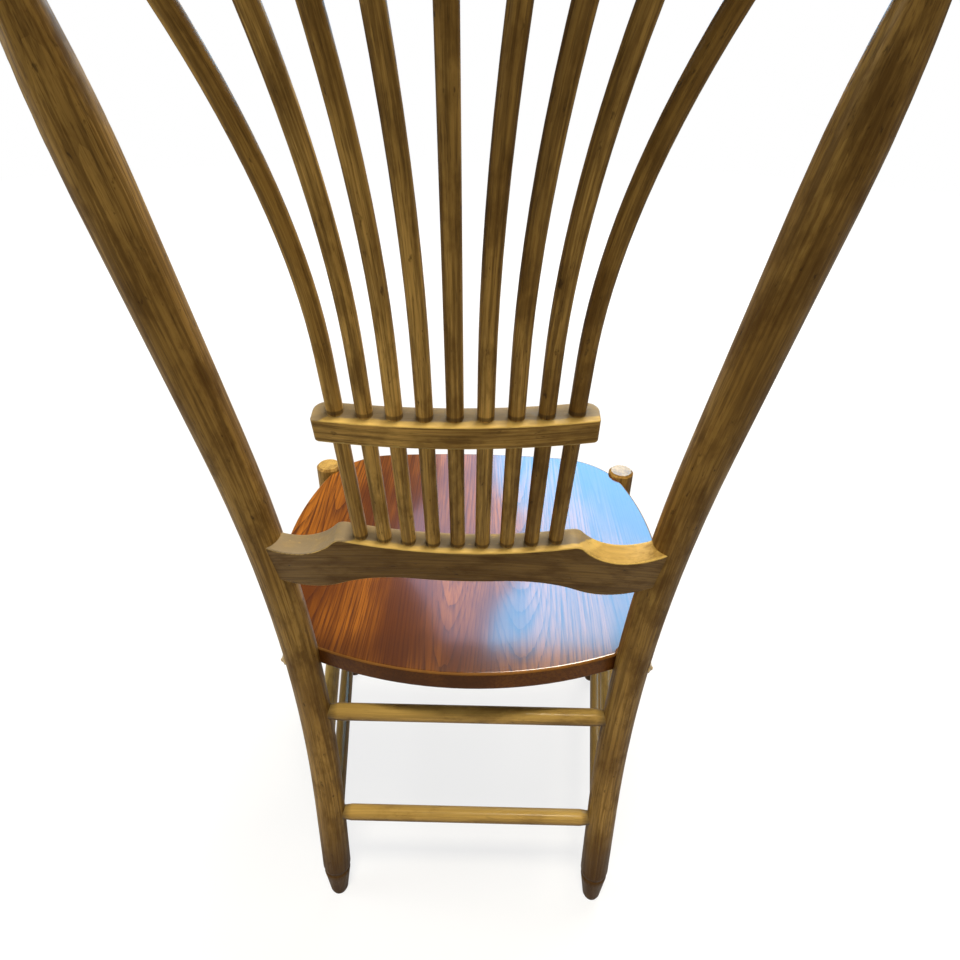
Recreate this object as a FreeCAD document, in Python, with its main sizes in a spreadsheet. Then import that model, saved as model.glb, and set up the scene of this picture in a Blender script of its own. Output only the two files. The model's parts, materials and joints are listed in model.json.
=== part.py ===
import FreeCAD, Part
import math
import os
import types

import Sketcher
from FreeCAD import Placement, Rotation, Vector

# Wheat back dining chair, in millimetres. +Z is up, the sitter faces -Y and has +X on the left.
# The origin lies on the floor, under the middle of the chair's box.

doc = FreeCAD.newDocument("wheat_back_chair")

# Driving dimensions: name, value, meaning
SIZES = [
    ("seat_height", 440, "floor to the top of the seat"),
    ("seat_thickness", 25, "thickness of the plank"),
    ("seat_rear", 140.75, "origin back to the middle of the rear edge"),
    ("seat_front", 288.25, "origin forward to the middle of the front edge"),
    ("seat_half_width", 232.5, "middle to the widest point of the side"),
    ("seat_widest", 81.25, "origin forward to the widest point"),
    ("seat_side_radius", 440, "curve of each side"),
    ("seat_rear_radius", 411.5, "curve of the rear edge"),
    ("seat_front_sag", 15.7, "fall of the front edge to the corners before they are rounded"),
    ("seat_corner_radius", 100, "rounding of the front corners in plan"),
    ("seat_rear_corner", 162, "middle to the rear corner, inside the notch"),
    ("seat_side_end", 109.75, "origin back to the end of the side, inside the notch"),
    ("seat_top_round", 3, "rounding of the upper arris"),
    ("seat_bottom_round", 5, "rounding of the lower arris"),
    ("notch_gap", 1.5, "play of the seat's notch round a post"),
    ("notch_bite", 0.6, "depth that a post is let into its notch"),
    ("notch_round", 4, "rounding of the notch's corners in plan"),
    ("dish_middle", 71.25, "origin forward to the middle of the dish"),
    ("dish_radius", 175, "reach of the dish"),
    ("dish_depth", 6, "depth of the dish"),
    ("post_diameter", 35.4, "rear posts and front legs"),
    ("post_foot_out", 171.4, "middle to a rear foot"),
    ("post_foot_back", 135.25, "origin back to a rear foot"),
    ("post_rake", 5.42, "degrees that a rear leg leans"),
    ("post_splay", -0.5, "degrees that a rear leg leans out, going up"),
    ("post_straight", 179, "straight stretch above the floor"),
    ("post_bend_radius", 1631, "radius of the bend"),
    ("post_bend", 19.04, "degrees that a post is bent"),
    ("post_heading", 74.4, "degrees from +X to the plane of the bend"),
    ("post_upper", 192, "straight stretch above the bend"),
    ("post_taper", 110, "length that narrows below the crest"),
    ("post_top_diameter", 21, "post where it meets the crest"),
    ("post_tenon_diameter", 14, "round tenon in the crest"),
    ("post_tenon", 32, "length of that tenon"),
    ("foot_height", 56, "turned foot, above the floor"),
    ("foot_ring", 47, "height of the ring groove"),
    ("foot_groove_diameter", 31, "bottom of the ring groove"),
    ("foot_swell_diameter", 33.5, "foot just under the groove"),
    ("foot_neck_diameter", 23, "foot near the floor"),
    ("foot_tip_diameter", 19, "tip of the foot"),
    ("foot_neck", 5, "height of the neck"),
    ("foot_tip", 1, "height of the straight tip"),
    ("foot_tip_round", 6, "curve from the tip to the neck"),
    ("foot_ring_drop", 3, "slope under the ring groove"),
    ("foot_spare", 5, "length sawn off level with the floor"),
    ("leg_out", 214.3, "middle to a front leg"),
    ("leg_ahead", 239.05, "origin forward to a front leg"),
    ("leg_height", 446, "top of a front leg"),
    ("leg_top_chamfer", 3, "bevel round the top of a front leg"),
    ("rung_diameter", 19.4, "rungs between the joints"),
    ("rung_tenon_diameter", 17, "round tenons of the rungs"),
    ("rung_tenon", 21, "length of those tenons"),
    ("rung_taper", 9, "length that narrows towards a tenon"),
    ("rear_rung_upper", 339, "height of a rung"),
    ("rear_rung_lower", 156, "height of a rung"),
    ("side_rung_upper", 250, "height of a rung"),
    ("side_rung_lower", 100, "height of a rung"),
    ("front_rung_upper", 300, "height of a rung"),
    ("front_rung_lower", 178, "height of a rung"),
    ("back_lean", 12.4, "degrees that the back's rails and spindles lean"),
    ("back_middle", 175.95, "origin back to the middle spindle at the rail's top"),
    ("back_height", 636.6, "floor to the top of the lower rail"),
    ("back_shift", 5.7, "how far the spindles and their rails stand nearer the left post"),
    ("rail_bow", 500, "bow of the lower rail in plan"),
    ("bar_bow", 600, "bow of the tie bar in plan"),
    ("spindle_bow", 520, "bow of the row of spindles in plan"),
    ("rail_depth", 21, "front to rear"),
    ("rail_half", 175, "middle to the rail's shoulder"),
    ("rail_reach", 179, "middle to the rail's ends, which lap the posts"),
    ("rail_corner", 6, "rounding of its rear corners in plan"),
    ("rail_crown", 99, "middle to the end of the raised top"),
    ("rail_shoulder_round", 12, "rounding of the raised top's ends"),
    ("rail_scoop_radius", 80, "scoop beside the raised top"),
    ("rail_scoop_end", 35.7, "raised top down to the rail's end"),
    ("rail_arch_half", 35, "middle to the end of the flat underside"),
    ("rail_belly", 167, "middle to the lowest point of the underside"),
    ("rail_middle_height", 38.5, "rail's height in the middle"),
    ("rail_end_drop", 82, "raised top down to the underside at the end"),
    ("rail_tenon", 15, "length of the flat tenons"),
    ("rail_tenon_root", 15, "how far the tenons reach back into the rail"),
    ("rail_tenon_inset", 0.5, "rail's front face back to the tenon, at its root"),
    ("rail_tenon_thickness", 11, "front to rear"),
    ("rail_tenon_height", 30, "height of the flat tenons"),
    ("rail_arris", 1.5, "rounding of the sawn edges"),
    ("bar_base", 111, "rail's top up to the tie bar, along the lean"),
    ("bar_height", 21, "height of the tie bar"),
    ("bar_depth", 21, "front to rear"),
    ("bar_half", 97, "middle to its end"),
    ("bar_tilt", 1.2, "degrees that the tie bar sits out of level"),
    ("bar_corner", 9, "rounding of its front corners in plan"),
    ("bar_rear_corner", 2.5, "rounding of its rear corners in plan"),
    ("bar_base_round", 3.5, "rounding round its underside"),
    ("bar_arris", 1, "rounding round its top"),
    ("spindle_diameter", 11.7, "all nine spindles"),
    ("spindle_tenon", 24, "depth in the lower rail"),
    ("spindle_pitch_rail", 19.75, "spacing at the rail's top"),
    ("spindle_pitch_bar", 20.32, "spacing at the tie bar's middle"),
    ("spindle_bend_start", 175.6, "rail's top up to the start of the bends"),
    ("spindle_bend_rise", 238, "height of the bends"),
    ("spindle_bend_one", 7.56, "degrees, pair next to the middle"),
    ("spindle_bend_two", 12.15, "degrees, second pair"),
    ("spindle_bend_three", 17, "degrees, third pair"),
    ("spindle_bend_four", 30, "degrees, outer pair"),
    ("crest_half", 236, "middle to its end"),
    ("crest_depth", 33, "front to rear"),
    ("crest_set_back", 1.2, "its middle behind the middle spindle"),
    ("crest_bow_radius", 720, "bow in plan"),
    ("crest_base", 386, "rail's top up to its underside in the middle"),
    ("crest_base_drop", 10, "fall of the underside to the end"),
    ("crest_top", 444, "rail's top up to its top in the middle"),
    ("crest_top_drop", 28, "fall of the top to the end"),
    ("crest_end_round", 14, "rounding of the upper ends"),
    ("crest_arris", 2.5, "rounding of its edges"),
    ("screw_height", 432, "floor to the seat screws"),
    ("screw_shank_diameter", 5, "seat screws"),
    ("screw_head_diameter", 9, "seat screws"),
    ("screw_head", 4, "height of the head"),
    ("screw_head_edge", 1, "upright edge of the head"),
    ("screw_length", 52, "shank below the head"),
    ("screw_point", 8, "length of the tapered point"),
    ("screw_depth", 9, "wood's surface to the top of the head"),
    ("plug_cap_diameter", 11.5, "button over a screw"),
    ("plug_cap_crown", 3.5, "button above the wood"),
    ("plug_cap_flat", 1, "radius of the flat on top of the button"),
    ("plug_cap_edge", 0.7, "upright edge of the button above the wood"),
    ("plug_cap_rim", 1, "button below the wood's crown"),
    ("plug_peg_diameter", 9, "peg under the button"),
    ("rear_screw_turn", 20, "degrees that a rear screw turns forward from across"),
    ("front_screw_turn", 35.7, "degrees that a front screw turns back from across"),
]


class Size:
    """A length or angle worked out from cells of the sheet, kept as a number and as its formula."""

    def __init__(self, value, formula):
        self.value = value
        self.formula = formula

    def __add__(self, other):
        other = as_size(other)
        return Size(self.value + other.value, f"({self.formula} + {other.formula})")

    def __sub__(self, other):
        other = as_size(other)
        return Size(self.value - other.value, f"({self.formula} - {other.formula})")

    def __mul__(self, other):
        other = as_size(other)
        return Size(self.value * other.value, f"({self.formula} * {other.formula})")

    def __truediv__(self, other):
        other = as_size(other)
        return Size(self.value / other.value, f"({self.formula} / {other.formula})")

    def __neg__(self):
        return Size(-self.value, f"(0 - {self.formula})")


def as_size(item):
    """A plain number as a Size."""
    return item if isinstance(item, Size) else Size(item, str(item))


def sine(angle):
    return Size(math.sin(math.radians(angle.value)), f"sin({angle.formula})")


def cosine(angle):
    return Size(math.cos(math.radians(angle.value)), f"cos({angle.formula})")


def root(item):
    return Size(math.sqrt(item.value), f"sqrt({item.formula})")


def sagging_radius(half, fall):
    """Radius of an arc that falls by an amount over half its width."""
    return (half * half + fall * fall) / (fall * 2)


sheet = doc.addObject("Spreadsheet::Sheet", "sizes")
dim = types.SimpleNamespace()
for row, (name, value, meaning) in enumerate(SIZES, start=1):
    sheet.set(f"A{row}", name)
    sheet.set(f"B{row}", str(value))
    sheet.set(f"C{row}", meaning)
    sheet.setAlias(f"B{row}", name)
    setattr(dim, name, Size(value, f"sizes.{name}"))
doc.recompute()

across = Vector(1, 0, 0)
rearward = Vector(0, 1, 0)
upward = Vector(0, 0, 1)
LEFT, RIGHT = 1, -1


# Sketches

def bind(thing, prop, size):
    """Tie one property to the sheet."""
    thing.setExpression(prop, as_size(size).formula)


def new_body(name):
    return doc.addObject("PartDesign::Body", name)


def new_sketch(body, name, role, raised=None):
    """A sketch on one of the body's own origin planes, lifted off it by a size if one is given."""
    plane = next(feature for feature in body.Origin.OriginFeatures if feature.Role == role)
    sketch = body.newObject("Sketcher::SketchObject", name)
    sketch.AttachmentSupport = [(plane, "")]
    sketch.MapMode = "FlatFace"
    if raised is not None:
        bind(sketch, "AttachmentOffset.Base.z", raised)
    return sketch


def hold(sketch, curve, end, x, y):
    """Hold the end of a curve at x and y of its sketch."""
    for kind, axis, size in (("DistanceX", -2, x), ("DistanceY", -1, y)):
        size = as_size(size)
        if size.value == 0:
            sketch.addConstraint(Sketcher.Constraint("PointOnObject", curve, end, axis))
        else:
            index = sketch.addConstraint(Sketcher.Constraint(kind, -1, 1, curve, end, size.value))
            bind(sketch, f"Constraints[{index}]", size)


def point(x, y):
    return Vector(as_size(x).value, as_size(y).value, 0)


class Outline:
    """A chain of lines and arcs in one sketch, with every corner and radius held by the sheet."""

    START, FINISH, MIDDLE = 1, 2, 3

    def __init__(self, sketch, x, y):
        self.sketch = sketch
        self.first = (x, y)
        self.here = point(x, y)
        self.begun = None
        self.last = None

    def join(self, curve, start, finish, x, y):
        """Tie a new curve to the one before it, and hold its far end."""
        if self.last is None:
            self.begun = (curve, start)
            hold(self.sketch, curve, start, *self.first)
        else:
            self.sketch.addConstraint(Sketcher.Constraint("Coincident", *self.last, curve, start))
        self.last = (curve, finish)
        if (x, y) == self.first:
            self.sketch.addConstraint(Sketcher.Constraint("Coincident", *self.last, *self.begun))
        else:
            hold(self.sketch, curve, finish, x, y)
        self.here = point(x, y)
        return self

    def line(self, x, y):
        curve = self.sketch.addGeometry(Part.LineSegment(self.here, point(x, y)))
        return self.join(curve, self.START, self.FINISH, x, y)

    def arc(self, x, y, radius, left):
        """An arc of less than half a circle, turning left or right on its way to x, y."""
        there = point(x, y)
        chord = there - self.here
        side = Vector(-chord.y, chord.x, 0).normalize()
        rise = math.sqrt(radius.value ** 2 - (chord.Length / 2) ** 2)
        middle = (self.here + there) / 2 + side * (rise if left else -rise)
        begin, end = (self.here, there) if left else (there, self.here)
        angles = [math.atan2(spot.y - middle.y, spot.x - middle.x) for spot in (begin, end)]
        circle = Part.Circle(middle, upward, radius.value)
        curve = self.sketch.addGeometry(Part.ArcOfCircle(circle, *angles))
        index = self.sketch.addConstraint(Sketcher.Constraint("Radius", curve, radius.value))
        bind(self.sketch, f"Constraints[{index}]", radius)
        ends = (self.START, self.FINISH) if left else (self.FINISH, self.START)
        return self.join(curve, *ends, x, y)

    def close(self):
        return self.line(*self.first)


def held_circle(sketch, x, y, radius):
    """A circle in a sketch, its middle and radius held by the sheet."""
    curve = sketch.addGeometry(Part.Circle(point(x, y), upward, radius.value))
    hold(sketch, curve, Outline.MIDDLE, x, y)
    index = sketch.addConstraint(Sketcher.Constraint("Radius", curve, radius.value))
    bind(sketch, f"Constraints[{index}]", radius)


def round_edges(body, base, name, radius, chosen):
    """Round the edges of the body's last feature that the test picks."""
    doc.recompute()
    names = [f"Edge{i}" for i, edge in enumerate(base.Shape.Edges, start=1) if chosen(edge)]
    fillet = body.newObject("PartDesign::Fillet", name)
    fillet.Base = (base, names)
    bind(fillet, "Radius", radius)
    return fillet


def pad(body, sketch, name, length):
    feature = body.newObject("PartDesign::Pad", name)
    feature.Profile = sketch
    bind(feature, "Length", length)
    return feature


def revolve(body, sketch, name, kind="Revolution"):
    """Turn a half section round the sketch's upright axis, to add wood or to take it away."""
    feature = body.newObject(f"PartDesign::{kind}", name)
    feature.Profile = sketch
    feature.ReferenceAxis = (sketch, ["V_Axis"])
    feature.Angle = 360
    return feature


def cut(name, base, tools):
    """What is left of one piece after others are let into it."""
    gathered = doc.addObject("Part::Compound", f"{name}_tools")
    gathered.Links = tools
    result = doc.addObject("Part::Cut", name)
    result.Base = base
    result.Tool = gathered
    return result


def fuse(name, pieces):
    result = doc.addObject("Part::MultiFuse", name)
    result.Shapes = pieces
    return result


def mirrored(name, source, middle=Vector()):
    """The same piece on the other side of the chair, or of a middle that stands off centre."""
    twin = doc.addObject("Part::Mirroring", name)
    twin.Source = source
    twin.Base = middle
    twin.Normal = across
    return twin


# Rear posts: a turned foot, a bent shaft and a tapered top with a tenon

def foot_profile(outline, floor):
    """Half section of a turned foot, from the axis at the tip up to the shaft."""
    outline.line(dim.foot_tip_diameter / 2, floor)
    outline.line(dim.foot_tip_diameter / 2, dim.foot_tip)
    outline.arc(dim.foot_neck_diameter / 2, dim.foot_neck, dim.foot_tip_round, left=True)
    outline.line(dim.foot_swell_diameter / 2, dim.foot_ring - dim.foot_ring_drop)
    outline.line(dim.foot_groove_diameter / 2, dim.foot_ring)
    outline.line(dim.post_diameter / 2, dim.foot_height)
    return outline


def bent_rod(body, radius, base, straight, bend_radius, bend, upper=None):
    """A round rod along a straight run, an arc towards +X and, if given, a second straight run."""
    ring = new_sketch(body, f"{body.Name}_ring", "XY_Plane", raised=base)
    held_circle(ring, 0, 0, radius)
    path = new_sketch(body, f"{body.Name}_path", "XZ_Plane")
    bend_out = bend_radius * (as_size(1) - cosine(bend))
    bend_up = straight + bend_radius * sine(bend)
    line = Outline(path, 0, base)
    line.line(0, straight)
    line.arc(bend_out, bend_up, bend_radius, left=False)
    if upper is not None:
        line.line(bend_out + upper * sine(bend), bend_up + upper * cosine(bend))
    pipe = body.newObject("PartDesign::AdditivePipe", f"{body.Name}_shaft")
    pipe.Profile = ring
    pipe.Spine = path
    return bend_out, bend_up


post = new_body("rear_post_blank")
post_radius = dim.post_diameter / 2
bend_out, bend_up = bent_rod(post, post_radius, dim.foot_height, dim.post_straight,
                             dim.post_bend_radius, dim.post_bend, dim.post_upper)
foot = new_sketch(post, "rear_post_foot", "XZ_Plane")
foot_outline = foot_profile(Outline(foot, 0, -dim.foot_spare), -dim.foot_spare)
foot_outline.line(0, dim.foot_height).close()
revolve(post, foot, "rear_post_turned_foot")
top = new_sketch(post, "rear_post_top", "XZ_Plane")
top.AttachmentOffset = Placement(Vector(), Rotation(upward, -dim.post_bend.value))
bind(top, "AttachmentOffset.Rotation.Angle", -dim.post_bend)
bind(top, "AttachmentOffset.Base.x", bend_out + dim.post_upper * sine(dim.post_bend))
bind(top, "AttachmentOffset.Base.y", bend_up + dim.post_upper * cosine(dim.post_bend))
shoulder = Outline(top, 0, 0).line(post_radius, 0)
taper_radius = sagging_radius(dim.post_taper, post_radius - dim.post_top_diameter / 2)
shoulder.arc(dim.post_top_diameter / 2, dim.post_taper, taper_radius, left=True)
shoulder.line(dim.post_tenon_diameter / 2, dim.post_taper)
shoulder.line(dim.post_tenon_diameter / 2, dim.post_taper + dim.post_tenon)
shoulder.line(0, dim.post_taper + dim.post_tenon).close()
revolve(post, top, "rear_post_turned_top")
post_foot = Vector(dim.post_foot_out.value, dim.post_foot_back.value, 0)
post_lean = Rotation(rearward, dim.post_splay.value) * Rotation(across, dim.post_rake.value)
post_turn = post_lean * Rotation(upward, dim.post_heading.value)
post.Placement = Placement(post_foot, post_turn)

floor = doc.addObject("Part::Box", "floor_level")
for side in ("Length", "Width", "Height"):
    bind(floor, side, dim.post_diameter * 2)
floor.Placement.Base = post_foot - Vector(1, 1, 2) * dim.post_diameter.value
post_left = cut("rear_post_left_blank", post, [floor])
post_right = mirrored("rear_post_right_blank", post_left)


def post_centre(height):
    """Where the left post's axis passes a height, found by halving the bend."""
    low, high = 0.0, math.radians(dim.post_bend.value)
    straight = post_turn.multVec(upward) * dim.post_straight.value + post_foot
    if height < straight.z:
        return post_foot + (straight - post_foot) * (height / straight.z)
    for _ in range(40):
        turn = (low + high) / 2
        reach = dim.post_bend_radius.value
        local = Vector(reach * (1 - math.cos(turn)), 0, dim.post_straight.value + reach * math.sin(turn))
        spot = post_foot + post_turn.multVec(local)
        low, high = (turn, high) if spot.z < height else (low, turn)
    return spot


# Front legs

leg = new_body("front_leg_blank")
leg_sketch = new_sketch(leg, "front_leg_section", "XZ_Plane")
leg_outline = foot_profile(Outline(leg_sketch, 0, 0), 0)
leg_outline.line(post_radius, dim.leg_height - dim.leg_top_chamfer)
leg_outline.line(post_radius - dim.leg_top_chamfer, dim.leg_height)
leg_outline.line(0, dim.leg_height).close()
revolve(leg, leg_sketch, "front_leg_turned")
leg_spot = Vector(dim.leg_out.value, -dim.leg_ahead.value, 0)
leg.Placement.Base = leg_spot
leg_right = mirrored("front_leg_right_blank", leg)


# Rungs

def rung(name, start, finish):
    """A rung between two points on the axes of posts or legs, with a round tenon at each end."""
    body = new_body(name)
    reach = Size((finish - start).Length, str((finish - start).Length))
    past = dim.rung_tenon - post_radius
    sketch = new_sketch(body, f"{name}_section", "XZ_Plane")
    outline = Outline(sketch, 0, -past)
    outline.line(dim.rung_tenon_diameter / 2, -past)
    outline.line(dim.rung_tenon_diameter / 2, dim.rung_tenon - past)
    outline.line(dim.rung_diameter / 2, dim.rung_tenon - past + dim.rung_taper)
    outline.line(dim.rung_diameter / 2, reach - dim.rung_tenon + past - dim.rung_taper)
    outline.line(dim.rung_tenon_diameter / 2, reach - dim.rung_tenon + past)
    outline.line(dim.rung_tenon_diameter / 2, reach + past)
    outline.line(0, reach + past).close()
    revolve(body, sketch, f"{name}_turned")
    body.Placement = Placement(start, Rotation(upward, finish - start))
    return body


def flip(spot):
    return Vector(-spot.x, spot.y, spot.z)


rear_rungs, side_rungs, front_rungs = [], [], []
for level in ("upper", "lower"):
    rear_spot = post_centre(getattr(dim, f"rear_rung_{level}").value)
    rear_rungs.append(rung(f"rear_rung_{level}", flip(rear_spot), rear_spot))
    front_spot = leg_spot + upward * getattr(dim, f"front_rung_{level}").value
    front_rungs.append(rung(f"front_rung_{level}", flip(front_spot), front_spot))
    side_height = getattr(dim, f"side_rung_{level}").value
    side_spot = leg_spot + upward * side_height
    side_rungs.append(rung(f"side_rung_left_{level}", side_spot, post_centre(side_height)))
side_rungs_right = [mirrored(side.Name.replace("left", "right"), side) for side in side_rungs]

# The back leans: its pieces are drawn upright, with the rail's top at zero, and then tipped

back_frame = Placement(Vector(0, dim.back_middle.value, dim.back_height.value),
                       Rotation(across, -dim.back_lean.value))
back_middle = across * dim.back_shift.value
spindle_frame = back_frame * Placement(back_middle, Rotation())

# Spindles: straight through the tie bar, then bent outwards by pairs

pitch_growth = (dim.spindle_pitch_bar - dim.spindle_pitch_rail) / (dim.bar_base + dim.bar_height / 2)
spindle_radius = dim.spindle_diameter / 2


def spindle_spot(pair):
    """Where a spindle stands in the lower rail, and how far it fans out, in the upright back."""
    low = dim.spindle_pitch_rail.value - pitch_growth.value * dim.spindle_tenon.value
    bowed = (pair * dim.spindle_pitch_bar.value) ** 2 / (2 * dim.spindle_bow.value)
    fan = math.degrees(math.atan(pair * pitch_growth.value))
    return Placement(Vector(pair * low, -bowed, -dim.spindle_tenon.value), Rotation(rearward, fan))


middle_spindle = new_body("spindle_5")
middle_ring = new_sketch(middle_spindle, "spindle_5_ring", "XY_Plane")
held_circle(middle_ring, 0, 0, spindle_radius)
spindle_straight = dim.spindle_tenon + dim.spindle_bend_start
pad(middle_spindle, middle_ring, "spindle_5_shaft", spindle_straight + dim.spindle_bend_rise)
middle_spindle.Placement = spindle_frame * spindle_spot(0)

spindles = {5: middle_spindle}
for pair, word in enumerate(("one", "two", "three", "four"), start=1):
    bend = getattr(dim, f"spindle_bend_{word}")
    body = new_body(f"spindle_{5 + pair}")
    bent_rod(body, spindle_radius, 0, spindle_straight, dim.spindle_bend_rise / sine(bend), bend)
    body.Placement = spindle_frame * spindle_spot(pair)
    spindles[5 + pair] = body
    spindles[5 - pair] = mirrored(f"spindle_{5 - pair}", body, back_middle)
all_spindles = [spindles[number] for number in sorted(spindles)]


# Bowed rails

def bowed_slab(name, bow, depth, half, low, height):
    """A slab bowed in plan, hollow to the front, with its middle on the spindles' line."""
    body = new_body(name)
    sketch = new_sketch(body, f"{name}_plan", "XY_Plane", raised=low)
    rear_radius = bow + depth / 2
    front_radius = bow - depth / 2
    rear_end = root(rear_radius * rear_radius - half * half) - bow
    front_end = root(front_radius * front_radius - half * half) - bow
    outline = Outline(sketch, half, front_end).line(half, rear_end)
    outline.arc(-half, rear_end, rear_radius, left=True)
    outline.line(-half, front_end)
    outline.arc(half, front_end, front_radius, left=False)
    pad(body, sketch, f"{name}_stock", height)
    body.Placement = back_frame
    return body


def round_piece(name, source, radius, chosen):
    """The same piece with the chosen sawn edges eased."""
    doc.recompute()
    fillet = doc.addObject("Part::Fillet", name)
    fillet.Base = source
    size = radius.value
    fillet.Edges = [(i, size, size) for i, edge in enumerate(source.Shape.Edges, start=1) if chosen(edge)]
    return fillet


def slab_corner(bow, half, rear):
    """A test for the upright edges at the front or the rear of a bowed slab's ends."""
    middle = -half.value ** 2 / (2 * bow.value)

    def chosen(edge):
        ends = [corner.Point for corner in edge.Vertexes]
        upright = abs(ends[0].z - ends[-1].z) > 1
        return upright and (ends[0].y > middle) == rear
    return chosen


def level_edge(height):
    """A test for the edges that lie at one height."""
    return lambda edge: all(abs(corner.Point.z - height.value) < 0.01 for corner in edge.Vertexes)


rail_stock = bowed_slab("lower_rail_stock", dim.rail_bow, dim.rail_depth, dim.rail_reach,
                        -dim.rail_end_drop, dim.rail_end_drop)
rail_rear = slab_corner(dim.rail_bow, dim.rail_reach, rear=True)
round_edges(rail_stock, rail_stock.Tip, "lower_rail_cornered", dim.rail_corner, rail_rear)
rail_face = new_body("lower_rail_face")
saw_reach = dim.rail_half / 2
rail_face_half = dim.rail_reach + dim.back_shift
rail_sketch = new_sketch(rail_face, "lower_rail_outline", "XZ_Plane", raised=-saw_reach)
belly_run = dim.rail_belly - dim.rail_arch_half
belly_fall = dim.rail_end_drop - dim.rail_middle_height
belly_radius = (belly_run * belly_run + belly_fall * belly_fall) / (belly_fall * 4)
belly_x = (dim.rail_belly + dim.rail_arch_half) / 2
belly_z = -(dim.rail_end_drop + dim.rail_middle_height) / 2
sawn = Outline(rail_sketch, dim.rail_crown, 0).line(-dim.rail_crown, 0)
sawn.arc(-rail_face_half, -dim.rail_scoop_end, dim.rail_scoop_radius, left=False)
sawn.line(-rail_face_half, -dim.rail_end_drop).line(-dim.rail_belly, -dim.rail_end_drop)
sawn.arc(-belly_x, belly_z, belly_radius, left=True)
sawn.arc(-dim.rail_arch_half, -dim.rail_middle_height, belly_radius, left=False)
sawn.line(dim.rail_arch_half, -dim.rail_middle_height)
sawn.arc(belly_x, belly_z, belly_radius, left=False)
sawn.arc(dim.rail_belly, -dim.rail_end_drop, belly_radius, left=True)
sawn.line(rail_face_half, -dim.rail_end_drop).line(rail_face_half, -dim.rail_scoop_end)
sawn.arc(dim.rail_crown, 0, dim.rail_scoop_radius, left=False)
rail_sawn = pad(rail_face, rail_sketch, "lower_rail_sawn", saw_reach * 2)


def rail_shoulder(edge):
    """An edge across the thickness at the ends of the raised top."""
    ends = [corner.Point for corner in edge.Vertexes]
    return abs(ends[0].y - ends[-1].y) > 1 and abs(ends[0].z) < 1


round_edges(rail_face, rail_sawn, "lower_rail_shouldered", dim.rail_shoulder_round, rail_shoulder)
rail_face.Placement = spindle_frame
rail_blank = doc.addObject("Part::Common", "lower_rail_blank")
rail_blank.Base = rail_stock
rail_blank.Tool = rail_face


def sawn_edge(edge):
    """An edge of the front or rear face, not one across the thickness."""
    ends = [back_frame.inverse().multVec(corner.Point) for corner in edge.Vertexes]
    return abs(ends[0].x - ends[-1].x) > 1


rail_eased = round_piece("lower_rail_eased", rail_blank, dim.rail_arris, sawn_edge)
rail_scribed = cut("lower_rail_scribed", rail_eased, [post_left, post_right])
tenon = doc.addObject("Part::Box", "lower_rail_tenon_left")
bind(tenon, "Length", dim.rail_tenon_root + dim.rail_tenon)
bind(tenon, "Width", dim.rail_tenon_thickness)
bind(tenon, "Height", dim.rail_tenon_height)
tenon_start = dim.rail_half - dim.rail_tenon_root
rail_front = -tenon_start.value ** 2 / (2 * dim.rail_bow.value) - dim.rail_depth.value / 2
tenon_low = -(dim.rail_end_drop.value + dim.rail_scoop_end.value + dim.rail_tenon_height.value) / 2
tenon_corner = Vector(tenon_start.value, rail_front + dim.rail_tenon_inset.value, tenon_low)
tenon.Placement = back_frame * Placement(tenon_corner, Rotation())
rail_whole = fuse("lower_rail_with_tenons", [rail_scribed, tenon, mirrored("lower_rail_tenon_right", tenon)])
rail = cut("lower_back_rail", rail_whole, all_spindles)

bar_stock = bowed_slab("tie_bar_stock", dim.bar_bow, dim.bar_depth, dim.bar_half,
                       dim.bar_base, dim.bar_height)
bar_middle = upward * (dim.bar_base.value + dim.bar_height.value / 2)
bar_stock.Placement = spindle_frame * Placement(Vector(), Rotation(rearward, dim.bar_tilt.value), bar_middle)
bar_front = slab_corner(dim.bar_bow, dim.bar_half, rear=False)
bar_rear = slab_corner(dim.bar_bow, dim.bar_half, rear=True)
bar_under = level_edge(dim.bar_base)
bar_top = level_edge(dim.bar_base + dim.bar_height)
bar_rounded = round_edges(bar_stock, bar_stock.Tip, "tie_bar_rounded", dim.bar_corner, bar_front)
bar_cornered = round_edges(bar_stock, bar_rounded, "tie_bar_cornered", dim.bar_rear_corner, bar_rear)
bar_eased = round_edges(bar_stock, bar_cornered, "tie_bar_eased", dim.bar_base_round, bar_under)
round_edges(bar_stock, bar_eased, "tie_bar_finished", dim.bar_arris, bar_top)
bar = cut("tie_bar", bar_stock, all_spindles)

crest_low = dim.crest_base - dim.crest_base_drop
crest_high = dim.crest_top - dim.crest_top_drop
crest_stock = bowed_slab("crest_stock", dim.crest_bow_radius, dim.crest_depth, dim.crest_half,
                         crest_low, dim.crest_top - crest_low)
crest_stock.Placement = back_frame * Placement(rearward * dim.crest_set_back.value, Rotation())
crest_face = new_body("crest_face")
crest_sketch = new_sketch(crest_face, "crest_outline", "XZ_Plane", raised=-saw_reach)


arched = Outline(crest_sketch, dim.crest_half, crest_low).line(dim.crest_half, crest_high)
arched.arc(-dim.crest_half, crest_high, sagging_radius(dim.crest_half, dim.crest_top_drop), left=True)
arched.line(-dim.crest_half, crest_low)
arched.arc(dim.crest_half, crest_low, sagging_radius(dim.crest_half, dim.crest_base_drop), left=False)
crest_sawn = pad(crest_face, crest_sketch, "crest_sawn", saw_reach * 2)


def crest_upper_end(edge):
    """An edge across the thickness at the upper ends of the crest."""
    ends = [corner.Point for corner in edge.Vertexes]
    across_thickness = abs(ends[0].y - ends[-1].y) > saw_reach.value
    return across_thickness and ends[0].z > dim.crest_base.value


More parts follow.
